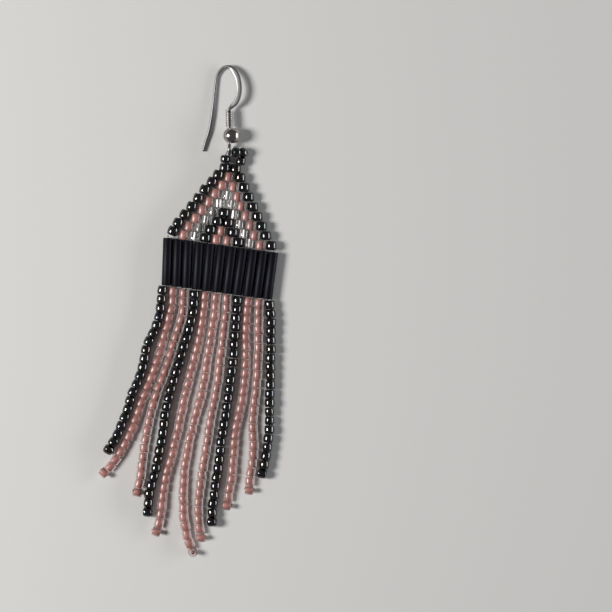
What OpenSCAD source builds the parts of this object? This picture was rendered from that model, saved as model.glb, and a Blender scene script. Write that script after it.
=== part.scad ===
// Beaded fringe earring, lying flat on a table and seen from above.
// A woven triangle of seed beads hangs from an ear hook, and carries a row of
// tube beads (bugles) with one strand of seed beads below each bugle.
// X is to the right, Y towards the hook and Z up from the table.
// Until the last shift, the drawing's origin is the middle of the triangle's base row.

/* [Beaded triangle] */
// Distance from bead to bead along a row
row_step = 2.07; // [2:0.01:2.15]
// Distance from row to row
row_rise = 1.69; // [1.67:0.01:1.7]
// Diameter of the triangle's beads, which is its thickness
weave_bead_d = 2.0; // [1.8:0.05:2.05]
// Length of a seed bead along its hole
bead_length = 1.6; // [1.5:0.05:1.6]
// Height by which the thread pulls up the bead at each row's left end
left_lift = 0.45; // [0:0.05:0.5]
// Height by which it pulls up the bead at each row's right end
right_lift = 0.2; // [0:0.05:0.5]
// Distance by which the base row has slid to the right along the bugles
base_slide = 0.25; // [0:0.05:0.3]
// Angle at which the triangle lies on the table, anticlockwise
triangle_turn = -7.7; // [-9:0.1:-7]

/* [Bugles] */
// Outer diameter of a bugle
bugle_d = 1.8; // [1.6:0.05:1.8]
// Diameter of its hole
bugle_bore = 0.8; // [0.6:0.05:1]
// Length of a bugle
bugle_length = 8.9; // [8:0.1:8.9]
// Distance from bugle to bugle at their upper ends
bugle_step = 1.98; // [1.97:0.01:2.0]
// Gap at each end of the bugles, which shows the thread
row_gap = 0.14; // [0.12:0.02:0.2]

/* [Fringe] */
// Diameter of the beads on the strands
strand_d = 1.9; // [1.7:0.05:1.9]
// Distance from bead to bead along a strand
bead_pitch = 1.67; // [1.65:0.01:1.68]
// Distance from strand to strand at their upper ends
strand_step = 2.03; // [2.03:0.01:2.06]
// Distance by which the strands' upper ends have slid along the row
strand_shift = 0.6; // [0.4:0.1:0.8]

/* [Ear hook] */
// Diameter of the wire
wire_d = 0.6; // [0.5:0.05:0.65]
// Width of the hammered front of the hook
front_width = 1.0; // [0.7:0.05:1]
// Thickness of the hammered front
front_thickness = 0.45; // [0.35:0.05:0.6]
// Outer diameter of the ring at the wire's lower end
ring_d = 2.25; // [2.2:0.05:2.3]
// Diameter of the loose ball
ball_d = 3.2; // [3:0.1:3.3]
// Diameter of the ball's hole
ball_bore = 1.6; // [1.5:0.05:1.7]
// Diameter of the coil's wire
coil_wire_d = 0.34; // [0.28:0.02:0.34]
// Turns of the coil
coil_turns = 7.5; // [6:0.5:8]

/* [Thread] */
// Diameter of the doubled beading thread
thread_d = 0.3; // [0.2:0.05:0.4]
// Gap left between pieces
play = 0.06; // [0.05:0.01:0.08]

/* [Hidden] */
$fn = 48;

// The bugles from left to right.
// columns: distance slid along the row, heading in degrees left of straight down
BUGLES = [
    [0.1, 2], [0, 2], [-0.05, 2.4], [0.1, 3.6], [0.2, 5], [0.4, 6.4],
    [0.45, 7.2], [0.5, 8.2], [0.45, 7.6], [0.35, 7.6], [0.25, 7.6],
];
bugle_count = len(BUGLES);
middle = (bugle_count - 1) / 2;

// Beads in the base row, which has one bead fewer than there are bugles.
// Every row above it has one bead fewer again, down to two.
base_beads = bugle_count - 1;
rows = base_beads - 1;
weave_axis = weave_bead_d / 2;
joint_d = 0.9 * wire_d;
ring_wire_d = 1.06 * wire_d;

// The strands from left to right. The headings are degrees left of straight down,
// at eight stations spaced evenly from the top bead to the tip.
// columns: kind of bead, beads on the strand, headings
STRANDS = [
    ["dark", 20, [2, 11, 28, 7, 27, 15, 24, 34]],
    ["pink", 23, [0, 16, 14, 22, 20, 21, 30, 46]],
    ["pink", 24, [-2, 16, 16, 22, 16, 10, 6, 14]],
    ["dark", 26, [0, 16, 16, 18, 8, 10, 16, 2]],
    ["pink", 28, [4, 10, 16, 12, 12, 16, 6, 16]],
    ["pink", 30, [4, 10, 8, 16, 12, 4, -4, -24]],
    ["pink", 28, [2, 8, 6, 12, 8, 10, 4, -12]],
    ["dark", 26, [4, 4, 6, 8, 10, 6, 10, 0]],
    ["pink", 24, [6, 2, 0, 8, 14, 2, 8, 10]],
    ["pink", 22, [2, 0, 2, 4, 8, -6, 12, 0]],
    ["dark", 20, [-6, 0, 2, 0, 2, 1, 10, 13]],
];

// The hook's wire above its straight tail, over the arch and down to the coil.
// Its two ends are slimmer, so that they sit inside the straight bars that they join.
// columns: x, y, width across the hook, thickness through it
HOOK_ROUTE = [
    [-2.1, 20.6, joint_d, joint_d],
    [-1.6, 23.4, wire_d, wire_d],
    [-1.25, 26.2, wire_d, wire_d],
    [-0.95, 29.0, wire_d, wire_d],
    [-0.7, 30.5, wire_d, wire_d],
    [-0.25, 31.5, wire_d, wire_d],
    [0.4, 32.2, wire_d, wire_d],
    [1.2, 32.45, wire_d, wire_d],
    [2.0, 32.2, 0.8 * front_width, front_thickness],
    [2.75, 31.35, front_width, front_thickness],
    [3.3, 30.1, front_width, front_thickness],
    [3.55, 28.5, front_width, front_thickness],
    [3.4, 27.0, front_width, front_thickness],
    [2.9, 25.8, front_width, front_thickness],
    [2.15, 25.0, 0.8 * front_width, front_thickness],
    [1.7, 24.5, wire_d, wire_d],
    [1.6, 24.0, joint_d, joint_d],
];
hook_slope = [0.281, -0.053];
tail_tip = [-3.3, 16.6];
tail_top = [-2.1, 20.6];
shank_top = [1.6, 24.0];
ring_centre = [1.68, 16.9];
ball_y = 19.5;
ball_hang = (ball_bore - wire_d) / 2 - 0.04;
coil_start = 24.2;

// The loop of beads from the triangle's top row through the ring and back:
// one bead up on the left, and three on the way down on the right.
// columns: x, y, z, radius
bead_r = strand_d / 2;
LOOP_ROUTE = [
    [0.84, 14.45, 1.08, bead_r],
    [0.9, 15.0, 1.1, bead_r],
    [0.92, 15.65, 1.2, bead_r],
    [0.92, 15.65, 1.2, thread_d / 2],
    [1.1, 16.3, 1.45, thread_d / 2],
    [1.68, 16.7, 1.7, thread_d / 2],
    [2.3, 16.4, 1.95, thread_d / 2],
    [2.3, 16.4, 1.95, bead_r],
    [2.8, 16.4, 1.95, bead_r],
    [3.4, 16.35, 1.6, bead_r],
    [3.83, 15.95, 1.3, bead_r],
    [4.0, 15.3, 1.12, bead_r],
    [3.87, 14.75, 1.03, bead_r],
    [3.6, 14.25, 1.0, bead_r],
];

function unit(v) = v / norm(v);
function spread(i) = i - middle;
function heading_vector(angle) = [-sin(angle), -cos(angle)];
function number_name(stem, i) = str(stem, i < 9 ? "_0" : "_", i + 1);

// Catmull-Rom curve through rows of numbers, with a few steps between each two rows.
function blend(a, b, c, d, t) =
    0.5 * (2 * b + (c - a) * t + (2 * a - 5 * b + 4 * c - d) * t * t
    + (3 * b - a - 3 * c + d) * t * t * t);
function curve(list, steps) = [
    for (i = [0 : len(list) - 2], k = [0 : steps - 1])
        blend(list[max(i - 1, 0)], list[i], list[i + 1],
              list[min(i + 2, len(list) - 1)], k / steps),
    list[len(list) - 1]
];

// Rings of points around a path. Each ring is a polygon at right angles to the path, which
// measures `wide` across the `up` vector and `thick` along it, from flat to flat.
function tangent(path, i) =
    unit(path[min(i + 1, len(path) - 1)] - path[max(i - 1, 0)]);
function ring(centre, along, up, wide, thick, sides) =
    let (across = unit(cross(along, up)), rise = cross(across, along),
         corner = 1 / cos(180 / sides))
    [for (k = [0 : sides - 1])
        let (a = 360 * (k + 0.5) / sides)
        centre + across * cos(a) * corner * wide / 2 + rise * sin(a) * corner * thick / 2];
function rings(path, ups, wides, thicks, sides) = [
    for (i = [0 : len(path) - 1])
        each ring(path[i], tangent(path, i), ups[i], wides[i], thicks[i], sides)
];

// A closed skin over rings of points, with a flat cap at each end.
module skin(points, sides) {
    last = len(points) - sides;
    polyhedron(points, concat(
        [[for (k = [sides - 1 : -1 : 0]) k]],
        [for (r = [0 : sides : last - sides], k = [0 : sides - 1], half = [0, 1])
            let (a = r + k, b = r + (k + 1) % sides)
            half == 0 ? [a, b, a + sides] : [b, b + sides, a + sides]],
        [[for (k = [0 : sides - 1]) last + k]]));
}

// The triangle's outline: two corners are cut off each edge bead, in every row.
function in_triangle(p) = [
    p.x * cos(triangle_turn) - p.y * sin(triangle_turn),
    p.x * sin(triangle_turn) + p.y * cos(triangle_turn)
];
function row_half(r) = (base_beads - r - 1) / 2 * row_step + weave_bead_d / 2;
function row_lift(r, side) = r == rows - 1 ? 0 : side < 0 ? left_lift : right_lift;
function row_slide(r) = r == 0 ? base_slide : 0;
function row_end(r, side, inset) =
    let (x = row_half(r) - inset, y = r * row_rise + row_lift(r, side), s = row_slide(r),
         half = bead_length / 2, cut = 0.25)
    [[side * (x - cut) + s, y - half], [side * x + s, y - half + cut],
     [side * x + s, y + half - cut], [side * (x - cut) + s, y + half]];
function triangle_outline(inset) = [
    for (p = concat(
        [for (side = [-1, 1]) [side * (row_half(0) - row_step) + base_slide, -bead_length / 2]],
        [for (r = [0 : rows - 1]) each row_end(r, 1, inset)],
        [for (r = [rows - 1 : -1 : 0]) let (e = row_end(r, -1, inset)) each [e[3], e[2], e[1], e[0]]]))
        in_triangle(p)
];

// Bugles: the upper ends lie along the triangle's base.
function bugle_turn(i) = BUGLES[i][1];
function bugle_top(i) =
    in_triangle([spread(i) * bugle_step + BUGLES[i][0], -bead_length / 2 - row_gap]);
function along_bugle(i, distance) = bugle_top(i) + distance * heading_vector(bugle_turn(i));
function bugle_corners(i) =
    let (across = bugle_d / 2 * [cos(bugle_turn(i)), -sin(bugle_turn(i))])
    [for (distance = [0, bugle_length], side = [-1, 1]) along_bugle(i, distance) + side * across];

// A strand's bead centres: each step follows the heading between its stations.
function heading_at(table, t) =
    let (u = t * (len(table) - 1), k = min(floor(u), len(table) - 2))
    table[k] + (table[k + 1] - table[k]) * (u - k);
fringe_drop = bead_length + bugle_length + 2 * row_gap;
function strand_start(i) = in_triangle([strand_shift + spread(i) * strand_step, -fringe_drop]);
function strand_beads(i) =
    let (count = STRANDS[i][1], turns = STRANDS[i][2])
    [for (k = 0, p = strand_start(i); k < count;
          p = p + bead_pitch * heading_vector(heading_at(turns, (k + 0.5) / (count - 1))), k = k + 1) p];
// The tube takes every third bead, and runs half a bead past the first and the last.
function strand_path(i) =
    let (beads = strand_beads(i), last = len(beads) - 1,
         start = beads[0] - heading_vector(STRANDS[i][2][0]) * bead_length / 2,
         tip = beads[last] + heading_vector(STRANDS[i][2][7]) * strand_d / 2)
    [for (p = concat([start], [for (k = [1 : 3 : last - 1]) beads[k]], [tip]))
        [p.x, p.y, strand_d / 2]];
function strand_rings(i) =
    let (path = strand_path(i))
    rings(path, [for (p = path) [0, 0, 1]], [for (p = path) strand_d],
          [for (p = path) strand_d], 8);

// The hook lies on its tail, on the bend above the tail and on the ball,
// so its plane rises to the right and falls a little towards the arch.
// Its hammered front is twisted a little, and faces straight up.
function on_hook(p) = [p.x, p.y, wire_d / 2 + hook_slope * [p.x - tail_tip.x, p.y - tail_tip.y]];
hook_curve = curve(HOOK_ROUTE, 4);
hook_rings = rings([for (p = hook_curve) on_hook(p)], [for (p = hook_curve) [0, 0, 1]],
                   [for (p = hook_curve) p[2]], [for (p = hook_curve) p[3]], 12);

// The shank runs from the coil's top through the ball to the ring.
shank_line = unit(on_hook(ring_centre) - on_hook(shank_top));
function on_shank(y) =
    on_hook(shank_top) + shank_line * (y - shank_top.y) / shank_line.y;
coil_r = wire_d / 2 + play + coil_wire_d / 2;
ball_reach = sqrt(pow(ball_d / 2, 2) - pow(ball_bore / 2, 2));
coil_end = ball_y + ball_reach + coil_wire_d / 2 + play;

// The whole earring's box, from which the origin is set under its middle.
outer_points = concat([for (i = [0 : bugle_count - 1]) each strand_rings(i)],
                      [for (i = [0 : bugle_count - 1]) each bugle_corners(i)],
                      triangle_outline(0), hook_rings);
x_all = [for (p = outer_points) p.x];
y_all = [for (p = outer_points) p.y];
to_origin = [-(min(x_all) + max(x_all)) / 2, -(min(y_all) + max(y_all)) / 2, 0];

// A straight round bar from one point to another.
module bar(from, to, d) {
    reach = to - from;
    translate(from)
        rotate([0, acos(reach.z / norm(reach)), atan2(reach.y, reach.x)])
            cylinder(h = norm(reach), d = d);
}

// Wire: a straight round tail, the arch with its hammered front, the shank and the end ring.
module ear_hook() color("#b8b4b2") translate(to_origin) {
    tail_line = unit(on_hook(tail_top) - on_hook(tail_tip));
    bar(on_hook(tail_tip), on_hook(tail_top) + 0.1 * tail_line, wire_d);
    skin(hook_rings, 12);
    bar(on_shank(shank_top.y + 0.05), on_shank(ring_centre.y + (ring_d - ring_wire_d) / 2), wire_d);
    translate(on_hook(ring_centre))
        rotate([0, 90, 0])
            rotate_extrude()
                translate([(ring_d - ring_wire_d) / 2, 0]) circle(d = ring_wire_d);
}

// The loose spring of finer wire round the shank.
module hook_coil() color("#c2beba") translate(to_origin) {
    steps = 16 * coil_turns;
    across = unit(cross(shank_line, [0, 0, 1]));
    rise = cross(across, shank_line);
    ends = [on_shank(coil_start), on_shank(coil_end)];
    outward = [for (k = [0 : steps]) let (a = 360 * k / 16) across * cos(a) + rise * sin(a)];
    path = [for (k = [0 : steps]) ends[0] + (ends[1] - ends[0]) * k / steps + coil_r * outward[k]];
    same = [for (k = [0 : steps]) coil_wire_d];
    skin(rings(path, outward, same, same, 6), 6);
}

// The drilled metal ball below the coil, which hangs a little to one side on the wire.
module hook_ball() color("#c6c3c0") translate(to_origin)
    translate([on_shank(ball_y).x + ball_hang, ball_y, ball_d / 2])
        rotate([0, acos(shank_line.z), atan2(shank_line.y, shank_line.x)])
            difference() {
                sphere(d = ball_d);
                cylinder(h = 2 * ball_d, d = ball_bore, center = true);
            }

// A bead up, the thread through the ring, and three beads down.
module bead_loop() color("#3b3a40") translate(to_origin) {
    path = [for (p = LOOP_ROUTE) [p[0], p[1], p[2]]];
    size = [for (p = LOOP_ROUTE) 2 * p[3]];
    skin(rings(path, [for (p = path) [0, 0, 1]], size, size, 8), 8);
}

// The woven triangle: one slab with stepped sides, thinner at its rim.
module beaded_panel() color("#8f7470") translate(to_origin) {
    rim = 0.3;
    linear_extrude(weave_bead_d) polygon(triangle_outline(rim));
    translate([0, 0, rim]) linear_extrude(weave_bead_d - 2 * rim) polygon(triangle_outline(0));
}

// The doubled thread through each bugle, from the triangle to the strand below.
module fringe_thread() color("#8d8984") translate(to_origin)
    for (i = [0 : bugle_count - 1]) {
        top = along_bugle(i, play - row_gap);
        foot = along_bugle(i, bugle_length + row_gap - play);
        bar([top.x, top.y, weave_axis], [foot.x, foot.y, weave_axis], thread_d);
    }

module bugle(i) color("#17181c") translate(to_origin) {
    top = along_bugle(i, 0);
    translate([top.x, top.y, weave_axis])
        rotate([0, 90, -90 - bugle_turn(i)])
            difference() {
                cylinder(h = bugle_length, d = bugle_d);
                translate([0, 0, -1]) cylinder(h = bugle_length + 2, d = bugle_bore);
            }
}

module strand(i) color(STRANDS[i][0] == "pink" ? "#b88680" : "#3b3a40") translate(to_origin)
    skin(strand_rings(i), 8);

ear_hook();
hook_coil();
hook_ball();
bead_loop();
beaded_panel();
fringe_thread();
for (i = [0 : bugle_count - 1]) {
    bugle(i);
    strand(i);
}
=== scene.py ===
import math
import bpy
import numpy as np
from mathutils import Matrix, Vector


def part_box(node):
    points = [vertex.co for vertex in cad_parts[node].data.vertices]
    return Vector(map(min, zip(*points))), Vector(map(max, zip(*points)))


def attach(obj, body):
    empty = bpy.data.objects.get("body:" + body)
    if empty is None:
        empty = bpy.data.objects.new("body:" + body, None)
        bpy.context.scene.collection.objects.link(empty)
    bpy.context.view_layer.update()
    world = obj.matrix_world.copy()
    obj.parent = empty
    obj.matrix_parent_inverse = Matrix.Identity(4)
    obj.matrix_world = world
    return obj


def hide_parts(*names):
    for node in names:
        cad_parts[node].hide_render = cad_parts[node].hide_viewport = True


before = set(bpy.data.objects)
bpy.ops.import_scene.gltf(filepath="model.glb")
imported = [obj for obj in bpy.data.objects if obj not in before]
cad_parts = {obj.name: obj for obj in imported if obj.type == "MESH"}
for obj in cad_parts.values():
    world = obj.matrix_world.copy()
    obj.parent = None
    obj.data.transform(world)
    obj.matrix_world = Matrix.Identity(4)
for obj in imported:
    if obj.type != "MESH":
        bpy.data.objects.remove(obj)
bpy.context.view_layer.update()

# Row of bugles
# Eleven tube beads of matte black glass stand side by side on the thread under the woven triangle. They
# are cut from drawn cane, so fine draw lines run along them, and their cut edges are a little rounded.
MM = 0.001
ROW_TURN = math.radians(-7.7)
BEAD_LENGTH = 1.6
BUGLE_LENGTH, BUGLE_RADIUS, BUGLE_HOLE, BUGLE_RIM = 8.9, 0.9, 0.4, 0.08
BUGLE_STEP, ROW_GAP, BUGLE_SIDES = 1.98, 0.14, 32
# columns: distance slid along the row, heading in degrees to the left of straight down
BUGLES = np.array([
    (0.1, 2.0), (0.0, 2.0), (-0.05, 2.4), (0.1, 3.6), (0.2, 5.0), (0.4, 6.4),
    (0.45, 7.2), (0.5, 8.2), (0.45, 7.6), (0.35, 7.6), (0.25, 7.6),
])
UP = np.array([0.0, 0.0, 1.0])
# height of the thread's middle line above the table, and depth of the surfaces' fine relief
WEAVE_AXIS = 1.0
BUMP_DEPTH = 0.04 * MM


def on_row(points):
    """Turns drawing points (mm, from the middle of the triangle's base row) to the row's slope."""
    c, s = math.cos(ROW_TURN), math.sin(ROW_TURN)
    x, y = np.asarray(points, float)[..., 0], np.asarray(points, float)[..., 1]
    return np.stack([x * c - y * s, x * s + y * c], -1)


def heading(degrees):
    """Unit vector in the table's plane, turned by an angle to the left of straight down the drawing."""
    a = np.radians(degrees)
    return np.stack([-np.sin(a), -np.cos(a)], -1)


def lifted(points, height):
    """Gives flat drawing points a height: (x, y) becomes (x, y, height)."""
    points = np.asarray(points, float)
    return np.concatenate([points, np.broadcast_to(height, points.shape[:-1])[..., None]], -1)


def unit(vectors):
    """Each vector divided by its length."""
    return vectors / np.linalg.norm(vectors, axis=-1, keepdims=True)


spread = np.arange(len(BUGLES)) - (len(BUGLES) - 1) / 2
slid, bugle_turns = BUGLES.T
bugle_tops = on_row(np.stack([spread * BUGLE_STEP + slid, 0 * spread - BEAD_LENGTH / 2 - ROW_GAP], -1))
bugle_feet = bugle_tops + BUGLE_LENGTH * heading(bugle_turns)
bugle_middles = (bugle_tops + bugle_feet) / 2
# The middle bugle's solid says where the drawing lies in the frame.
low, high = (np.array(corner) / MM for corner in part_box("bugle_06"))
TO_FRAME = np.append(((low + high) / 2)[:2] - bugle_middles[5], 0.0)


def lathe_grid(profile, around):
    """A profile of (radius, height) rows turned about Z: (r cos a, r sin a, h) for `around` angles a."""
    a = np.arange(around) * 2 * math.pi / around
    r, h = np.asarray(profile, float).T
    return np.stack([np.outer(r, np.cos(a)), np.outer(r, np.sin(a)), np.repeat(h[:, None], around, 1)], -1)


def grid_quads(rows, columns, closed_rows):
    """Quads of a grid of points whose columns close up, and whose rows do too on a ring-shaped surface."""
    i = np.arange(rows if closed_rows else rows - 1)[:, None]
    j = np.arange(columns)[None, :]
    i2, j2 = (i + 1) % rows, (j + 1) % columns
    quads = [i * columns + j, i * columns + j2, i2 * columns + j2, i2 * columns + j]
    return np.stack([np.broadcast_to(q, (i.size, j.size)) for q in quads], -1).reshape(-1, 4)


def placed(shape, centre, axis):
    """Moves points made about Z so that Z runs along `axis` and X lies level, at right angles to it."""
    z = unit(np.asarray(axis, float))
    x = unit(np.cross(np.broadcast_to(UP, z.shape), z))
    y = np.cross(z, x)
    return centre + shape[..., :1] * x + shape[..., 1:2] * y + shape[..., 2:] * z


def add_piece(name, parts, material, replaced=(), smooth=True, tones=None):
    """One mesh object from (points in drawing mm, faces) pairs, in the frame's metres, on the root body."""
    points = np.concatenate([part_points.reshape(-1, 3) for part_points, _ in parts])
    starts = np.cumsum([0] + [part_points.size // 3 for part_points, _ in parts[:-1]])
    faces = [[int(corner + start) for corner in face]
             for (_, part_faces), start in zip(parts, starts) for face in part_faces]
    mesh = bpy.data.meshes.new(name)
    mesh.from_pydata(((points + TO_FRAME) * MM).tolist(), [], faces)
    if smooth:
        mesh.shade_smooth()
    else:
        mesh.shade_flat()
    if tones is not None:
        mesh.attributes.new("tone", "FLOAT", "POINT").data.foreach_set("value", tones.astype(np.float32))
    mesh.materials.append(material)
    piece = bpy.data.objects.new(name, mesh)
    bpy.context.scene.collection.objects.link(piece)
    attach(piece, "root")
    if replaced:
        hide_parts(*replaced)


def new_material(name):
    """A node material with its Principled shader, returned with its node tree's nodes and links."""
    material = bpy.data.materials.new(name)
    material.use_nodes = True
    nodes, links = material.node_tree.nodes, material.node_tree.links
    return material, nodes, links, nodes["Principled BSDF"]


def streaked_surface():
    """Node group: patchy colour, roughness and height from a noise that can be drawn out along one axis."""
    group = bpy.data.node_groups.new("streaked_surface", "ShaderNodeTree")
    taken = {"Dark": "NodeSocketColor", "Light": "NodeSocketColor", "Scale": "NodeSocketVector",
             "Rough low": "NodeSocketFloat", "Rough high": "NodeSocketFloat"}
    for name, kind in taken.items():
        group.interface.new_socket(name, in_out="INPUT", socket_type=kind)
    returned = {"Color": "NodeSocketColor", "Roughness": "NodeSocketFloat", "Height": "NodeSocketFloat"}
    for name, kind in returned.items():
        group.interface.new_socket(name, in_out="OUTPUT", socket_type=kind)
    nodes, links = group.nodes, group.links
    given, result = nodes.new("NodeGroupInput"), nodes.new("NodeGroupOutput")
    where, stretch = nodes.new("ShaderNodeTexCoord"), nodes.new("ShaderNodeVectorMath")
    stretch.operation = "MULTIPLY"
    links.new(where.outputs["Object"], stretch.inputs[0])
    links.new(given.outputs["Scale"], stretch.inputs[1])
    noise = nodes.new("ShaderNodeTexNoise")
    noise.inputs["Scale"].default_value = 1.0
    noise.inputs["Detail"].default_value = 4.0
    links.new(stretch.outputs[0], noise.inputs["Vector"])
    colours = nodes.new("ShaderNodeMix")
    colours.data_type = "RGBA"
    links.new(noise.outputs["Fac"], colours.inputs["Factor"])
    links.new(given.outputs["Dark"], colours.inputs["A"])
    links.new(given.outputs["Light"], colours.inputs["B"])
    rough = nodes.new("ShaderNodeMapRange")
    links.new(noise.outputs["Fac"], rough.inputs["Value"])
    links.new(given.outputs["Rough low"], rough.inputs["To Min"])
    links.new(given.outputs["Rough high"], rough.inputs["To Max"])
    links.new(colours.outputs["Result"], result.inputs["Color"])
    links.new(rough.outputs["Result"], result.inputs["Roughness"])
    links.new(noise.outputs["Fac"], result.inputs["Height"])
    return group


streaked = streaked_surface()


def add_surface(nodes, links, shader, dark, light, scale, rough, bump):
    """Feeds a shader's colour, roughness and normal from the streaked surface group."""
    group = nodes.new("ShaderNodeGroup")
    group.node_tree = streaked
    group.inputs["Dark"].default_value = (*dark, 1.0)
    group.inputs["Light"].default_value = (*light, 1.0)
    group.inputs["Scale"].default_value = scale
    group.inputs["Rough low"].default_value, group.inputs["Rough high"].default_value = rough
    height = nodes.new("ShaderNodeBump")
    height.inputs["Strength"].default_value = bump
    height.inputs["Distance"].default_value = BUMP_DEPTH
    links.new(group.outputs["Color"], shader.inputs["Base Color"])
    links.new(group.outputs["Roughness"], shader.inputs["Roughness"])
    links.new(group.outputs["Height"], height.inputs["Height"])
    links.new(height.outputs["Normal"], shader.inputs["Normal"])
    return group


bugle_glass, nodes, links, shader = new_material("matte_black_glass")
add_surface(nodes, links, shader, dark=(0.0022, 0.0022, 0.0032), light=(0.006, 0.006, 0.0082),
            scale=(4000.0, 260.0, 4000.0), rough=(0.42, 0.5), bump=0.3)
shader.inputs["IOR"].default_value = 1.29
shader.inputs["Specular Tint"].default_value = (0.74, 0.75, 0.98, 1.0)

half_bugle = BUGLE_LENGTH / 2
bugle_profile = [
    (BUGLE_HOLE, -half_bugle + BUGLE_RIM), (BUGLE_HOLE + BUGLE_RIM, -half_bugle),
    (BUGLE_RADIUS - BUGLE_RIM, -half_bugle), (BUGLE_RADIUS - BUGLE_RIM / 4, -half_bugle + BUGLE_RIM / 2),
    (BUGLE_RADIUS, -half_bugle + BUGLE_RIM), (BUGLE_RADIUS, half_bugle - BUGLE_RIM),
    (BUGLE_RADIUS - BUGLE_RIM / 4, half_bugle - BUGLE_RIM / 2), (BUGLE_RADIUS - BUGLE_RIM, half_bugle),
    (BUGLE_HOLE + BUGLE_RIM, half_bugle), (BUGLE_HOLE, half_bugle - BUGLE_RIM),
]
for i in range(len(BUGLES)):
    bugle = placed(lathe_grid(bugle_profile, BUGLE_SIDES),
                   lifted(bugle_middles[i], WEAVE_AXIS), lifted(-heading(bugle_turns[i]), 0.0))
    add_piece(f"bugle_{i + 1:02d}_glass", [(bugle, grid_quads(len(bugle_profile), BUGLE_SIDES, True))],
              bugle_glass, [f"bugle_{i + 1:02d}"])

# Woven triangle
# Nine rows of size 11 seed beads in brick stitch, each row one bead shorter than the row below it. A
# gunmetal edge frames two lines of pink beads, with silver-lined crystal between them.
ROW_STEP, ROW_RISE, WEAVE_RADIUS = 2.07, 1.69, 1.0
# The thread pulls the end beads of a row up the triangle (mm) and tips them outwards (degrees). The
# left bead of the last row but one has less room to rise. The base row has slid to the right.
LEFT_LIFT, LEFT_LEAN, LEFT_LIFT_BELOW_TOP = 0.45, 13.0, 0.2
RIGHT_LIFT, RIGHT_LEAN = 0.2, -8.0
BASE_SLIDE = 0.25
# how far beads stray along and across their row (mm), in height (mm), in lean (degrees) and in slope
STRAY, STRAY_HEIGHT, STRAY_LEAN, STRAY_NOD = (0.035, 0.02), 0.02, 2.5, 0.04
# the least and the largest bead, as shares of WEAVE_RADIUS and of BEAD_LENGTH
WEAVE_RADII, WEAVE_LENGTHS = (0.96, 1.0), (1.01, 1.04)
# From the base row up, left to right: D gunmetal, P pink, S silver-lined crystal.
CHART = ["DPSDPPDSPD", "DPSDPDSPD", "DPSDDSPD", "DPSDSPD", "DPSSPD", "DPSPD", "DPPD", "DPD", "DD"]
# Everything that differs by chance from bead to bead is drawn from here, in the order of the file.
draw = np.random.default_rng(11)

# Gunmetal is an oily metal film over black glass: its tint runs along a row of near-black colours by
# the bead's own tone, and a noise shifts it a little from place to place on the bead.
GUNMETAL_TINTS = [(0.092, 0.098, 0.115), (0.12, 0.108, 0.097), (0.092, 0.107, 0.106), (0.115, 0.097, 0.115)]
FILM_SCALE, FILM_SHIFT, FILM_ROUGH, FILM_RIPPLE = 700.0, 0.7, (0.07, 0.19), 0.12
gunmetal, nodes, links, shader = new_material("gunmetal_glass")
tone = nodes.new("ShaderNodeAttribute")
tone.attribute_name = "tone"
tints = nodes.new("ShaderNodeValToRGB")
tints.color_ramp.elements.remove(tints.color_ramp.elements[0])
tints.color_ramp.elements[0].position = 0.0
tints.color_ramp.elements[0].color = (*GUNMETAL_TINTS[0], 1.0)
for k, tint in enumerate(GUNMETAL_TINTS[1:]):
    tints.color_ramp.elements.new((k + 1) / (len(GUNMETAL_TINTS) - 1)).color = (*tint, 1.0)
where, film = nodes.new("ShaderNodeTexCoord"), nodes.new("ShaderNodeTexNoise")
film.inputs["Scale"].default_value = FILM_SCALE
shift = nodes.new("ShaderNodeMath")
shift.operation = "MULTIPLY_ADD"
shift.inputs[1].default_value = FILM_SHIFT
shift.inputs[2].default_value = -FILM_SHIFT / 2
total = nodes.new("ShaderNodeMath")
links.new(where.outputs["Object"], film.inputs["Vector"])
links.new(film.outputs["Fac"], shift.inputs[0])
links.new(tone.outputs["Fac"], total.inputs[0])
links.new(shift.outputs[0], total.inputs[1])
links.new(total.outputs[0], tints.inputs["Fac"])
links.new(tints.outputs["Color"], shader.inputs["Base Color"])
shader.inputs["Metallic"].default_value = 1.0
gloss = nodes.new("ShaderNodeMapRange")
gloss.inputs["To Min"].default_value, gloss.inputs["To Max"].default_value = FILM_ROUGH
ripple = nodes.new("ShaderNodeBump")
ripple.inputs["Strength"].default_value = FILM_RIPPLE
ripple.inputs["Distance"].default_value = BUMP_DEPTH
links.new(film.outputs["Fac"], gloss.inputs["Value"])
links.new(gloss.outputs["Result"], shader.inputs["Roughness"])
links.new(film.outputs["Fac"], ripple.inputs["Height"])
links.new(ripple.outputs["Normal"], shader.inputs["Normal"])
shader.inputs["Specular Tint"].default_value = (0.3, 0.3, 0.3, 1.0)
shader.inputs["Coat Weight"].default_value = 0.4
shader.inputs["Coat Roughness"].default_value = 0.04

GLASS_MOTTLE = 0.06


def clear_glass(name, tint, rough):
    """Clear glass that only the eye sees: light and bounced rays pass straight through to the lining.
    Its tint varies by the share GLASS_MOTTLE either way."""
    material, nodes, links, shader = new_material(name)
    add_surface(nodes, links, shader, dark=[(1.0 - GLASS_MOTTLE) * c for c in tint],
                light=[(1.0 + GLASS_MOTTLE) * c for c in tint], scale=(900.0, 900.0, 900.0),
                rough=rough, bump=0.12)
    shader.inputs["IOR"].default_value = 1.58
    shader.inputs["Transmission Weight"].default_value = 1.0
    ray, through = nodes.new("ShaderNodeLightPath"), nodes.new("ShaderNodeBsdfTransparent")
    passing, mix = ray.outputs["Is Shadow Ray"], nodes.new("ShaderNodeMixShader")
    for kind in ("Is Diffuse Ray", "Is Glossy Ray"):
        either = nodes.new("ShaderNodeMath")
        either.operation = "MAXIMUM"
        links.new(passing, either.inputs[0])
        links.new(ray.outputs[kind], either.inputs[1])
        passing = either.outputs[0]
    links.new(passing, mix.inputs[0])
    links.new(shader.outputs[0], mix.inputs[1])
    links.new(through.outputs[0], mix.inputs[2])
    links.new(mix.outputs[0], nodes["Material Output"].inputs["Surface"])
    return material


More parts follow.
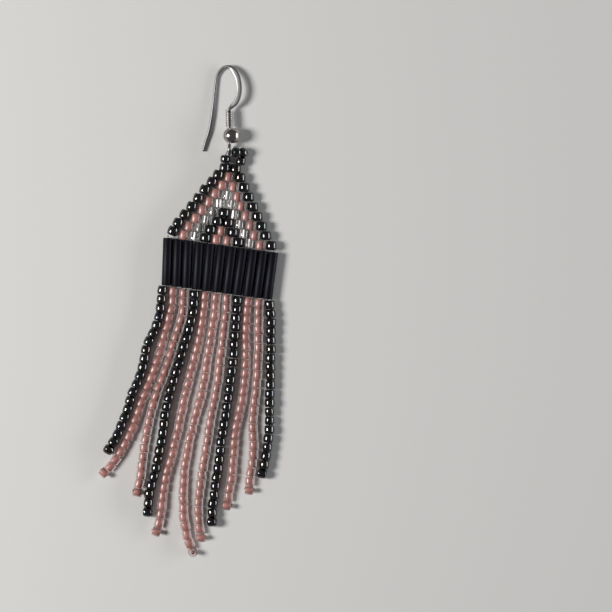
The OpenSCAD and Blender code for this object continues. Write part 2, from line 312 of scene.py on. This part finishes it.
def toned_coat(name, pale, deep, metallic, rough):
    """A mottled coat whose colour runs from deep to pale by the tone that the mesh carries."""
    material, nodes, links, shader = new_material(name)
    tone, mix = nodes.new("ShaderNodeAttribute"), nodes.new("ShaderNodeMix")
    tone.attribute_name = "tone"
    mix.data_type = "RGBA"
    mix.inputs["A"].default_value = (*deep, 1.0)
    mix.inputs["B"].default_value = (*pale, 1.0)
    links.new(tone.outputs["Fac"], mix.inputs["Factor"])
    group = add_surface(nodes, links, shader, dark=deep, light=pale, scale=(2200.0, 2200.0, 2200.0),
                        rough=rough, bump=0.2)
    links.new(mix.outputs["Result"], group.inputs["Light"])
    shader.inputs["Metallic"].default_value = metallic
    return material


pink_glass = clear_glass("glass_over_pink", tint=(0.6, 0.52, 0.51), rough=(0.2, 0.34))
crystal_glass = clear_glass("glass_over_silver", tint=(0.58, 0.57, 0.565), rough=(0.01, 0.07))
pink_lining = toned_coat("pink_lining", pale=(0.86, 0.402, 0.359), deep=(0.5, 0.234, 0.209),
                         metallic=0.0, rough=(0.45, 0.6))
silver_lining = toned_coat("silver_lining", pale=(1.0, 0.98, 0.965), deep=(0.28, 0.272, 0.266),
                           metallic=0.65, rough=(0.32, 0.44))

BEAD_SIDES = 16
# columns of the four profiles: radius, height, as shares of the bead's radius and half length
BEAD_PROFILE = np.array([(0.4, 0.8), (0.52, 0.97), (0.78, 1.0), (0.93, 0.78), (1.0, 0.3),
                         (1.0, -0.3), (0.93, -0.78), (0.78, -1.0), (0.52, -0.97), (0.4, -0.8)])
# The clear beads are cut straighter than the gunmetal ones, with a coat of colour or foil in the hole.
GLASS_PROFILE = np.array([(0.42, 0.95), (0.7, 1.0), (0.86, 0.96), (0.96, 0.86), (1.0, 0.7),
                          (1.0, -0.7), (0.96, -0.86), (0.86, -0.96), (0.7, -1.0), (0.42, -0.95)])
LINING_PROFILE = np.array([(0.48, 0.95), (0.48, -0.95), (0.38, -0.95), (0.38, 0.95)])
# The silver foil in the crystal beads is crinkled, and each crinkle gets a random pale or dark colour,
# partly painted reflection, so it shows as stripes.
CRINKLES, CRINKLE_DEPTH, FOIL_PROFILE = 18, 0.13, LINING_PROFILE * (1.06, 0.86)
PINK_TONES = 0.6


def bead_grid(profile, sides, centres, axes, radii, lengths, crinkle=0.0):
    """Beads as one array: the profile turned about each bead's own axis, scaled by its radius and half
    length. Every second side lies deeper by the share `crinkle`."""
    count = len(centres)
    a = (draw.random(count)[:, None] + np.arange(sides)[None, :] / sides) * 2 * math.pi
    r = (radii[:, None] * profile[:, 0])[:, :, None] * (1.0 - crinkle * (np.arange(sides) % 2))
    h = np.repeat((lengths[:, None] / 2 * profile[:, 1])[:, :, None], sides, 2)
    shape = np.stack([r * np.cos(a)[:, None, :], r * np.sin(a)[:, None, :], h], -1)
    points = placed(shape, centres[:, None, None], axes[:, None, None])
    one = grid_quads(len(profile), sides, True)[:, ::-1]
    faces = (np.arange(count)[:, None, None] * len(profile) * sides + one[None]).reshape(-1, 4)
    return points, faces


def add_beads(name, profile, sides, beads, tones, material, replaced=()):
    """One piece of beads of one profile, each in its own tone. `beads` is centres, axes, radii, lengths."""
    add_piece(name, [bead_grid(profile, sides, *beads)], material, replaced,
              tones=np.repeat(tones, len(profile) * sides))


def add_bead_run(name, kind, beads, replaced=(), palest=1.0):
    """Adds beads of one kind: gunmetal (D) whole, pink (P) and crystal (S) as clear glass round a lining.
    The pink lining's tones lie within PINK_TONES below `palest`."""
    tones = draw.random(len(beads[0]))
    if kind == "D":
        add_beads(f"{name}_beads", BEAD_PROFILE, BEAD_SIDES, beads, tones,
                  gunmetal, replaced)
    elif kind == "P":
        tones = palest - PINK_TONES * tones
        add_beads(f"{name}_glass", GLASS_PROFILE, BEAD_SIDES, beads, tones,
                  pink_glass, replaced)
        add_beads(f"{name}_lining", LINING_PROFILE, BEAD_SIDES, beads, tones,
                  pink_lining)
    else:
        add_beads(f"{name}_glass", GLASS_PROFILE, 2 * BEAD_SIDES, beads, tones,
                  crystal_glass, replaced)
        foil = bead_grid(FOIL_PROFILE, CRINKLES, *beads, CRINKLE_DEPTH)
        # each crinkle's own random colour: painted reflection stripes on top of the foil's real crinkles
        painted_stripes = np.repeat(draw.random((len(tones), 1, CRINKLES)), len(FOIL_PROFILE), 1)
        add_piece(f"{name}_lining", [foil], silver_lining, smooth=False,
                  tones=painted_stripes.ravel())


def uneven(size, shares, count):
    """Sizes that differ from bead to bead, between two shares of `size`."""
    least, largest = shares
    return size * (largest - (largest - least) * draw.random(count))


def resting_height(radii, lengths, axes):
    """Height at which each bead touches the table: the largest r cos t + h sin t over the rows of the
    straighter profile, for an axis that rises from the table by the angle t."""
    rise = np.abs(unit(axes)[:, 2:])
    r, h = radii[:, None] * GLASS_PROFILE[:, 0], lengths[:, None] / 2 * GLASS_PROFILE[:, 1]
    return (r * np.sqrt(1.0 - rise**2) + h * rise).max(1)


chart = [(row, place, kind) for row, line in enumerate(CHART) for place, kind in enumerate(line)]
row, place = np.array([c[0] for c in chart]), np.array([c[1] for c in chart])
kinds = np.array([c[2] for c in chart])
last_place = np.array([len(CHART[r]) - 1 for r in row])
top_row = len(CHART) - 1
left_end = (place == 0) & (row < top_row)
right_end = (place == last_place) & (row < top_row)
lifts = np.select([left_end & (row == top_row - 1), left_end, right_end],
                  [LEFT_LIFT_BELOW_TOP, LEFT_LIFT, RIGHT_LIFT], 0.0)
leans = np.select([left_end, right_end], [LEFT_LEAN, RIGHT_LEAN], 0.0)
flat = np.stack([(place - last_place / 2) * ROW_STEP + BASE_SLIDE * (row == 0), row * ROW_RISE + lifts], -1)
flat += draw.normal(0, STRAY, flat.shape)
heights = WEAVE_AXIS + draw.normal(0, STRAY_HEIGHT, len(chart))
leans += draw.normal(0, STRAY_LEAN, len(chart)) - math.degrees(ROW_TURN)
weave_axes = lifted(-heading(leans), draw.normal(0, STRAY_NOD, len(chart)))
weave_radii = uneven(WEAVE_RADIUS, WEAVE_RADII, len(chart))
weave_lengths = uneven(BEAD_LENGTH, WEAVE_LENGTHS, len(chart))
heights = np.maximum(heights, resting_height(weave_radii, weave_lengths, weave_axes))
weave_centres = lifted(on_row(flat), heights)
for kind, label in (("D", "triangle_dark"), ("P", "triangle_pink"), ("S", "triangle_crystal")):
    own = kinds == kind
    add_bead_run(label, kind, (weave_centres[own], weave_axes[own], weave_radii[own], weave_lengths[own]),
                 ["beaded_panel"] if kind == "D" else [])

# Fringe
# Eleven strings of seed beads, longest in the middle, hang from the bugles on a doubled thread. The
# last bead of each is turned crosswise, and the thread goes through it and back up the string.
STRAND_STEP, STRAND_SHIFT, BEAD_PITCH, STRAND_RADIUS = 2.03, 0.6, 1.67, 0.95
# columns: kind of bead, beads on the strand, headings at eight stations from the top to the tip
STRANDS = [
    ("D", 20, (2, 11, 28, 7, 27, 15, 24, 34)),
    ("P", 23, (0, 16, 14, 22, 20, 21, 30, 46)),
    ("P", 24, (-2, 16, 16, 22, 16, 10, 6, 14)),
    ("D", 26, (0, 16, 16, 18, 8, 10, 16, 2)),
    ("P", 28, (4, 10, 16, 12, 12, 16, 6, 16)),
    ("P", 30, (4, 10, 8, 16, 12, 4, -4, -24)),
    ("P", 28, (2, 8, 6, 12, 8, 10, 4, -12)),
    ("D", 26, (4, 4, 6, 8, 10, 6, 10, 0)),
    ("P", 24, (6, 2, 0, 8, 14, 2, 8, 10)),
    ("P", 22, (2, 0, 2, 4, 8, -6, 12, 0)),
    ("D", 20, (-6, 0, 2, 0, 2, 1, 10, 13)),
]
# the least and the largest bead, as shares of STRAND_RADIUS and of BEAD_LENGTH
STRAND_RADII, STRAND_LENGTHS = (0.92, 1.0), (0.965, 1.035)
# how far beads stray to the side (mm), turn aside (degrees) and nod (slope), and the most allowed
SWAY, SWAY_LIMIT, ASIDE, NOD, NOD_LIMIT = 0.04, 0.06, 4.5, 0.05, 0.06
STRAND_PALEST = 0.65
TIP_RADIUS, TIP_NOD = 0.9, 0.15
# The sixth string's last bead stands on its end, a little off the table.
UPRIGHT_STRAND, UPRIGHT_AXIS, UPRIGHT_LIFT = 5, (0.12, -0.1, 1.0), 0.07

fringe_drop = BEAD_LENGTH + BUGLE_LENGTH + 2 * ROW_GAP
strand_starts = on_row(np.stack([STRAND_SHIFT + spread * STRAND_STEP, 0 * spread - fringe_drop], -1))


def strand_route(start, count, turns):
    """Bead centres: each step of one pitch follows the heading, which changes evenly between stations."""
    t = (np.arange(count - 1) + 0.5) / (count - 1)
    steps = BEAD_PITCH * heading(np.interp(t, np.linspace(0, 1, len(turns)), turns))
    return start + np.concatenate([np.zeros((1, 2)), np.cumsum(steps, 0)])


strand_centres = []
for i, (kind, count, turns) in enumerate(STRANDS):
    route = strand_route(strand_starts[i], count, turns)
    along = unit(np.gradient(route, axis=0))
    across = np.stack([-along[:, 1], along[:, 0]], -1)
    sway = np.clip(draw.normal(0, SWAY, count), -SWAY_LIMIT, SWAY_LIMIT)
    sway[[0, -1]] = 0.0
    route = route + across * sway[:, None]
    radii = uneven(STRAND_RADIUS, STRAND_RADII, count)
    lengths = uneven(BEAD_LENGTH, STRAND_LENGTHS, count)
    aside = np.radians(draw.normal(0, ASIDE, count))
    nod = np.clip(draw.normal(0, NOD, count), -NOD_LIMIT, NOD_LIMIT)
    axes = lifted(along * np.cos(aside)[:, None] + across * np.sin(aside)[:, None], nod)
    axes[-1] = UPRIGHT_AXIS if i == UPRIGHT_STRAND else (*across[-1], draw.normal(0, TIP_NOD))
    radii[-1] = TIP_RADIUS
    centres = lifted(route, resting_height(radii, lengths, axes))
    if i == UPRIGHT_STRAND:
        centres[-1, 2] += UPRIGHT_LIFT
    strand_centres.append(centres)
    name = f"strand_{i + 1:02d}"
    add_bead_run(name, kind, (centres, axes, radii, lengths), [name], palest=STRAND_PALEST)

# Threads
# Waxed beading thread holds the work together: two passes run through every string and bugle, it
# bridges from bead to bead along each woven row, and it turns round the rows' right-hand ends as fine arcs.
THREAD_RADIUS, THREAD_TWIST, THREAD_SIDES = 0.06, 2.4, 6
BRIDGE_RADIUS, EDGE_RADIUS = 0.07, 0.045
# how far the thread shows above a bugle, and runs on from a string's last bead but one
ABOVE_BUGLE, BELOW_STRING = 0.3, 0.85
# nearly upright, so that a path that goes straight up isn't in line with it
STEEP = UP + 0.01
# Arcs of thread from one bead to the next. Columns: share of the way to the next bead, and mm along
# two directions: up the rows and off the table (bridge), up the rows and out to the right (edge), on
# from the string and along the last bead's hole (tip).
ROW_BRIDGE = [(0.0, -0.4, 0.0), (0.0, 0.05, 0.12), (0.5, 0.05, 0.12), (1.0, 0.05, 0.12), (1.0, -0.4, 0.0)]
EDGE_ARC = [(0.0, 0.75, 0.0), (0.0, 0.9, 0.4), (0.5, 0.0, 0.9), (1.0, -0.35, 0.98), (1.0, 0.55, 0.8),
            (1.0, 0.82, 0.2)]
TIP_ARC = [(0.0, 0.7, 0.0), (0.0, 0.9, 0.4), (1.0, -0.25, 0.88), (1.0, 0.0, 0.8), (1.0, 0.0, 0.55)]


def capped_quads(rows, sides):
    """Faces of a tube of rings: its quads, and one face across each end."""
    last = (rows - 1) * sides
    return grid_quads(rows, sides, False).tolist() + [
        list(range(sides))[::-1], list(range(last, last + sides))]


def tube(path, radius, sides, up=UP):
    """A tube about a path, closed at both ends: ring point = path point + radius * (cos a across + sin a
    rise), where across is at right angles to the path and to `up`, and rise to across and the path."""
    path = np.asarray(path, float)
    along = unit(np.gradient(path, axis=0))
    across = unit(np.cross(along, np.broadcast_to(up, path.shape)))
    rise = np.cross(across, along)
    a = np.arange(sides)[None, :, None] * 2 * math.pi / sides
    points = path[:, None] + radius * (across[:, None] * np.cos(a) + rise[:, None] * np.sin(a))
    return points, capped_quads(len(path), sides)


def smooth_path(points, steps):
    """Catmull-Rom curve through the rows: each span blends its four nearest rows by cubic weights in t."""
    rows = np.asarray(points, float)
    padded = np.concatenate([rows[:1], rows, rows[-1:]])
    a, b, c, d = (padded[k:k + len(rows) - 1, None] for k in range(4))
    t = (np.arange(steps) / steps)[None, :, None]
    curve = 0.5 * (2 * b + (c - a) * t + (2 * a - 5 * b + 4 * c - d) * t**2
                   + (3 * b - a - 3 * c + d) * t**3)
    return np.concatenate([curve.reshape(-1, rows.shape[1]), rows[-1:]])


def two_ply(path):
    """Two plies wound round a path: each runs at path + THREAD_RADIUS * (cos w across + sin w rise), where
    the angle w grows by one turn for each THREAD_TWIST of the path's length."""
    path = np.asarray(path, float)
    along = unit(np.gradient(path, axis=0))
    across = unit(np.cross(along, STEEP))
    rise = np.cross(across, along)
    run = np.concatenate([[0.0], np.cumsum(np.linalg.norm(np.diff(path, axis=0), axis=1))])
    w = run[:, None] / THREAD_TWIST * 2 * math.pi
    plies = [path + THREAD_RADIUS * (np.cos(w + start) * across + np.sin(w + start) * rise)
             for start in (0.0, math.pi)]
    return [tube(ply, THREAD_RADIUS, THREAD_SIDES, STEEP) for ply in plies]


def arc_between(arc, first, second, one_way, other_way):
    """Points between two beads: first + share * (second - first) + mm * one_way + mm * other_way."""
    share, one, other = np.array(arc).T[..., None]
    return first + share * (second - first) + one * one_way + other * other_way


thread_fibre, nodes, links, shader = new_material("waxed_thread")
add_surface(nodes, links, shader, dark=(0.09, 0.088, 0.085), light=(0.2, 0.19, 0.185),
            scale=(2600.0, 9000.0, 9000.0), rough=(0.45, 0.7), bump=0.6)
shader.inputs["Sheen Weight"].default_value = 0.25

threads = []
for i in range(len(BUGLES)):
    top = bugle_tops[i] - heading(bugle_turns[i]) * ABOVE_BUGLE
    stops = [top, bugle_tops[i], bugle_middles[i], bugle_feet[i], strand_centres[i][0, :2]]
    threads += two_ply(smooth_path(lifted(stops, WEAVE_AXIS), steps=8))
add_piece("bugle_thread", threads, thread_fibre, ["fringe_thread"])

threads = []
for i, centres in enumerate(strand_centres):
    strung, tip_bead = centres[:-1], centres[-1]
    out = unit(strung[-1] - strung[-2])
    threads += two_ply(smooth_path([*strung, strung[-1] + BELOW_STRING * out], steps=3))
    hole_way = UP if i == UPRIGHT_STRAND else np.array([-out[1], out[0], 0.0])
    for hand in (-1, 1):
        arc = smooth_path(arc_between(TIP_ARC, strung[-1], tip_bead, out, hand * hole_way), steps=4)
        threads.append(tube(arc, THREAD_RADIUS, THREAD_SIDES, STEEP))
add_piece("strand_threads", threads, thread_fibre)

threads = []
up_rows = lifted(-heading(-math.degrees(ROW_TURN)), 0.0)
out_right = np.array([up_rows[1], -up_rows[0], 0.0])
for r in range(len(CHART)):
    own = row == r
    tops = weave_centres[own] + weave_lengths[own][:, None] / 2 * up_rows
    for left, right in zip(tops[:-1], tops[1:]):
        bridge = smooth_path(arc_between(ROW_BRIDGE, left, right, up_rows, UP), steps=4)
        threads.append(tube(bridge, BRIDGE_RADIUS, THREAD_SIDES))
edge_beads = weave_centres[place == last_place]
for lower, upper in zip(edge_beads[:-1], edge_beads[1:]):
    edge = smooth_path(arc_between(EDGE_ARC, lower, upper, up_rows, out_right), steps=5)
    threads.append(tube(edge, EDGE_RADIUS, THREAD_SIDES))
add_piece("triangle_thread", threads, thread_fibre)

# Bead loop
# Four gunmetal seed beads on the thread's way from one bead of the top row, through the hook's ring,
# to the other: the loop hangs freely in the ring.
LOOP_BEADS = [(0.88, 15.15, 1.12), (2.92, 16.35, 2.12), (4.2, 16.3, 1.04), (3.8, 14.75, 1.0)]
LOOP_AXES = [(0.1, 1.0, 0.12), (1.0, 0.05, -0.4), (0.6, -0.6, -0.6), (-0.25, -1.0, 0.0)]
LOOP_RADIUS, LOOP_LENGTH = 0.9, 0.86 * BEAD_LENGTH
# where the thread passes through the ring, between the first bead and the second
THROUGH_RING = [(1.1, 16.25, 1.5), (1.68, 16.68, 1.75)]

loop_centres, loop_axes = np.array(LOOP_BEADS), unit(np.array(LOOP_AXES))
loop_radii = np.full(len(LOOP_BEADS), LOOP_RADIUS)
loop_lengths = np.full(len(LOOP_BEADS), LOOP_LENGTH)
add_bead_run("loop", "D", (loop_centres, loop_axes, loop_radii, loop_lengths), ["bead_loop"])
top_left, top_right = weave_centres[row == top_row]
loop_way = [top_left, loop_centres[0], *THROUGH_RING, *loop_centres[1:], top_right]
add_piece("loop_thread", two_ply(smooth_path(loop_way, steps=8)), thread_fibre)

# Ear hook
# A fish hook of silver-plated wire. Its tail is straight and round, the front of the arch is hammered
# flat, and below the shank the end is bent round into a small ring.
WIRE, WIRE_SIDES = 0.6, 20
# columns: x, y, width across the hook, thickness through it, squareness of the section
HOOK_WIRE = np.array([
    (-3.3, 16.6, WIRE, WIRE, 0.0), (-2.7, 18.6, WIRE, WIRE, 0.0), (-2.1, 20.6, WIRE, WIRE, 0.0),
    (-1.6, 23.4, WIRE, WIRE, 0.0), (-1.25, 26.2, WIRE, WIRE, 0.0), (-0.95, 29.0, WIRE, WIRE, 0.0),
    (-0.7, 30.5, WIRE, WIRE, 0.0), (-0.25, 31.5, WIRE, WIRE, 0.0), (0.4, 32.2, WIRE, WIRE, 0.0),
    (1.2, 32.45, WIRE, WIRE, 0.1), (2.0, 32.2, 0.8, 0.45, 0.5), (2.75, 31.35, 1.0, 0.42, 1.0),
    (3.3, 30.1, 1.0, 0.42, 1.0), (3.55, 28.5, 1.0, 0.42, 1.0), (3.4, 27.0, 1.0, 0.42, 1.0),
    (2.9, 25.8, 1.0, 0.42, 0.9), (2.15, 25.0, 0.8, 0.45, 0.5), (1.7, 24.5, WIRE, WIRE, 0.1),
    (1.6, 24.0, WIRE, WIRE, 0.0),
])
# The hook's plane rises to the right and falls to the arch, and the hammered flat faces a little left.
HOOK_SLOPE, TAIL_TIP = np.array([0.281, -0.053]), HOOK_WIRE[0, :2]
FLAT_FACING = UP + (-0.22, 0.0, 0.0)
# heights on the shank that the lower wire passes, and how far it reaches into the upper one
SHANK_STOPS, WIRE_OVERLAP = (22.0, 20.0, 18.6), 0.02
# The ring's arc is in degrees.
RING_CENTRE, RING_RADIUS, RING_ARC, RING_STEPS = (1.68, 16.9), 0.81, 335, 40


def on_hook(points):
    """Puts flat drawing points on the hook's sloping plane, which carries the wire's middle line."""
    points = np.asarray(points, float)
    return lifted(points, WIRE / 2 + (points - TAIL_TIP) @ HOOK_SLOPE)


def hammered(path, wide, thick, square, normal, sides):
    """A bar about a path: ring point = path point + wide/2 f(cos a) across + thick/2 f(sin a) rise, with
    across and rise as in a tube. f keeps the sign and takes the power 1 - 0.55 square, which turns a
    circle into a rounded rectangle as `square` grows from 0 to 1."""
    along = unit(np.gradient(path, axis=0))
    across = unit(np.cross(along, np.broadcast_to(normal, path.shape)))
    rise = np.cross(across, along)
    a = (np.arange(sides) + 0.5) * 2 * math.pi / sides
    power = 1.0 - 0.55 * np.clip(square, 0, 1)[:, None]
    u = np.sign(np.cos(a)) * np.abs(np.cos(a)) ** power
    v = np.sign(np.sin(a)) * np.abs(np.sin(a)) ** power
    points = (path[:, None] + across[:, None] * (u * wide[:, None] / 2)[..., None]
              + rise[:, None] * (v * thick[:, None] / 2)[..., None])
    return points, capped_quads(len(path), sides)


def domed(path, sections, radius, steps=5, reach=0.94):
    """Rounds off a bar's first end: its first ring gives way to rings that are shrunk by cos a and lie
    radius * sin a ahead of the point one radius inside the end. The angle a starts at the share `reach`
    of a right angle, so that the first ring isn't a single point."""
    a = np.linspace(math.pi / 2 * reach, 0.0, steps, endpoint=False)
    back = unit(path[0] - path[1])
    rings = path[0] + back * (np.sin(a) * radius)[:, None] - back * radius
    shrunk = np.cos(a)[:, None] * np.array([1.0, 1.0, 0.0]) + np.array([0.0, 0.0, 1.0])
    return np.concatenate([rings, path[1:]]), np.concatenate([sections[0] * shrunk, sections[1:]])


wire_silver, nodes, links, shader = new_material("satin_wire")
add_surface(nodes, links, shader, dark=(0.27, 0.258, 0.266), light=(0.34, 0.326, 0.334),
            scale=(5000.0, 900.0, 5000.0), rough=(0.3, 0.38), bump=0.05)
shader.inputs["Metallic"].default_value = 1.0

hook = smooth_path(HOOK_WIRE, steps=10)
hook_path, hook_sections = domed(on_hook(hook[:, :2]), hook[:, 2:], WIRE / 2)
upper_wire = hammered(hook_path, *hook_sections.T, unit(FLAT_FACING), WIRE_SIDES)
shank_top, ring_middle = on_hook(HOOK_WIRE[-1, :2]), on_hook(RING_CENTRE)
shank_line = unit(ring_middle - shank_top)


def on_shank(y):
    """The point of the shank's middle line at a height y of the drawing."""
    return shank_top + shank_line * (y - shank_top[1]) / shank_line[1]


# The ring starts on the shank's line, drops round its far side and closes against the shank again. The
# shank runs into it at the third point of its path.
turn = np.radians(np.linspace(90, 90 + RING_ARC, RING_STEPS))[:, None]
ring_path = ring_middle + RING_RADIUS * (np.cos(turn) * UP + np.sin(turn) * (0.0, 1.0, 0.0))
shank = [shank_top - WIRE_OVERLAP * shank_line, *(on_shank(y) for y in SHANK_STOPS), ring_path[2]]
bend = np.concatenate([smooth_path(shank, steps=6), ring_path[3:]])
lower_wire = tube(bend, WIRE / 2, WIRE_SIDES, up=np.array([1.0, 0.0, 0.0]))
add_piece("ear_hook_wire", [upper_wire, lower_wire], wire_silver, ["ear_hook"])

# Coil
# A spring of finer silver-plated wire, wound close and slid over the shank between the hook's bend and
# the ball. Its colour is painted dark in the grooves between the turns, as painted shade, and stays pale on
# the crests.
COIL_WIRE, COIL_TURNS, COIL_RADIUS, COIL_SIDES, COIL_STEPS = 0.32, 7.5, 0.53, 12, 24
COIL_TOP, COIL_FOOT = 24.2, 21.12
coil_silver = toned_coat("coil_silver", pale=(1.0, 0.97, 0.95), deep=(0.2, 0.19, 0.185),
                         metallic=1.0, rough=(0.24, 0.32))

turns = np.linspace(0, COIL_TURNS, round(COIL_TURNS * COIL_STEPS) + 1)[:, None]
coil_top, coil_foot = on_shank(COIL_TOP), on_shank(COIL_FOOT)
x_way = unit(np.cross(shank_line, UP))
y_way = np.cross(x_way, shank_line)
outward = np.cos(turns * 2 * math.pi) * x_way + np.sin(turns * 2 * math.pi) * y_way
coil_path = coil_top + (coil_foot - coil_top) * turns / COIL_TURNS + COIL_RADIUS * outward
# The tone is the square of how far a point of the wire faces outwards, so the grooves get painted shade.
groove_shade_tone = 0.5 + 0.5 * np.sin(np.arange(COIL_SIDES) * 2 * math.pi / COIL_SIDES)
add_piece("hook_coil_wire", [tube(coil_path, COIL_WIRE / 2, COIL_SIDES, up=outward)], coil_silver,
          ["hook_coil"], tones=np.tile(groove_shade_tone**2, len(coil_path)))

# Ball
# A hollow drilled bead of polished metal, loose on the wire below the coil. Its bore is wider than the
# wire, so it has dropped to one side and lies on the table.
BALL_RADIUS, BALL_BORE, BALL_Y, BALL_ASIDE = 1.59, 0.8, 19.5, 0.46
BALL_SIDES, BALL_ROWS = 64, 33
# The bore's edge is rounded: the ball's curve stops this far outside the bore, and two more rows lead
# into it, each so far outside the bore and so deep below the curve's end.
BALL_EDGE, BALL_LIP = 0.08, np.array([(0.02, 0.03), (0.0, 0.12)])
polished, nodes, links, shader = new_material("polished_silver")
add_surface(nodes, links, shader, dark=(0.42, 0.39, 0.37), light=(0.52, 0.49, 0.47),
            scale=(900.0, 900.0, 900.0), rough=(0.16, 0.24), bump=0.06)
shader.inputs["Metallic"].default_value = 1.0

ball_middle = np.array([on_shank(BALL_Y)[0] + BALL_ASIDE, BALL_Y, BALL_RADIUS])
reach = math.asin((BALL_BORE + BALL_EDGE) / BALL_RADIUS)
a = np.linspace(reach, math.pi - reach, BALL_ROWS)
shell = np.stack([BALL_RADIUS * np.sin(a), BALL_RADIUS * np.cos(a)], -1)
lip = (BALL_BORE, shell[0, 1]) + BALL_LIP * (1, -1)
shell = np.concatenate([lip[::-1], shell, lip * (1, -1)])[::-1]
ball = placed(lathe_grid(shell, BALL_SIDES), ball_middle, -shank_line)
add_piece("hook_ball_shell", [(ball, grid_quads(len(shell), BALL_SIDES, True))], polished,
          ["hook_ball"])

# Table, light and camera
# The earring lies flat on a pale table and is seen from straight above. A round soft light stands on
# the left and a tall strip light on the right, and they put two highlights on every bead.
SENSOR_WIDTH = 36.0
# width of the picture on the table, its middle in the drawing and the camera's height, all in mm
FRAME_WIDTH, VIEW_CENTRE, CAMERA_HEIGHT = 114.75, (16.0, -12.36), 620.0
# half the table's width, and how far away the lights stand, both in metres
TABLE_HALF, LIGHT_DISTANCE = 1.5, 0.6

table_mesh = bpy.data.meshes.new("table")
table_corners = [(-TABLE_HALF, -TABLE_HALF, 0), (TABLE_HALF, -TABLE_HALF, 0),
                 (TABLE_HALF, TABLE_HALF, 0), (-TABLE_HALF, TABLE_HALF, 0)]
table_mesh.from_pydata(table_corners, [], [(0, 1, 2, 3)])
table = bpy.data.objects.new("table", table_mesh)
bpy.context.scene.collection.objects.link(table)
table_paint, nodes, links, shader = new_material("pale_table")
shader.inputs["Base Color"].default_value = (0.8, 0.794, 0.782, 1.0)
shader.inputs["Roughness"].default_value = 0.7
table_mesh.materials.append(table_paint)


def add_light(name, azimuth, off_vertical, size, watts, colour):
    """An area light that faces the earring from `azimuth` (degrees from +X) and `off_vertical` degrees
    from straight above."""
    light = bpy.data.lights.new(name, "AREA")
    light.shape = "RECTANGLE" if size[1] > size[0] else "DISK"
    light.size, light.size_y = size
    light.energy = watts
    light.color = colour
    lamp = bpy.data.objects.new(name, light)
    a, v = math.radians(azimuth), math.radians(off_vertical)
    way = np.array([math.sin(v) * math.cos(a), math.sin(v) * math.sin(a), math.cos(v)])
    lamp.location = LIGHT_DISTANCE * way
    lamp.rotation_euler = (0.0, v, a)
    lamp.visible_camera = False
    bpy.context.scene.collection.objects.link(lamp)


add_light("key", azimuth=178.0, off_vertical=50.0, size=(0.2, 0.2), watts=3.3, colour=(1.0, 0.985, 0.96))
add_light("strip", azimuth=4.0, off_vertical=76.0, size=(0.12, 0.5), watts=1.7, colour=(0.97, 0.985, 1.0))

world = bpy.data.worlds.new("studio")
world.use_nodes = True
world.node_tree.nodes["Background"].inputs["Color"].default_value = (0.9, 0.92, 0.95, 1.0)
world.node_tree.nodes["Background"].inputs["Strength"].default_value = 0.1
bpy.context.scene.world = world
bpy.context.scene.view_settings.view_transform = "Standard"

camera_data = bpy.data.cameras.new("camera")
camera_data.sensor_width = SENSOR_WIDTH
camera_data.lens = SENSOR_WIDTH * CAMERA_HEIGHT / FRAME_WIDTH
camera_data.clip_end = 10.0
camera = bpy.data.objects.new("camera", camera_data)
camera.location = (*((np.array(VIEW_CENTRE) + TO_FRAME[:2]) * MM), CAMERA_HEIGHT * MM)
bpy.context.scene.collection.objects.link(camera)
bpy.context.scene.camera = camera
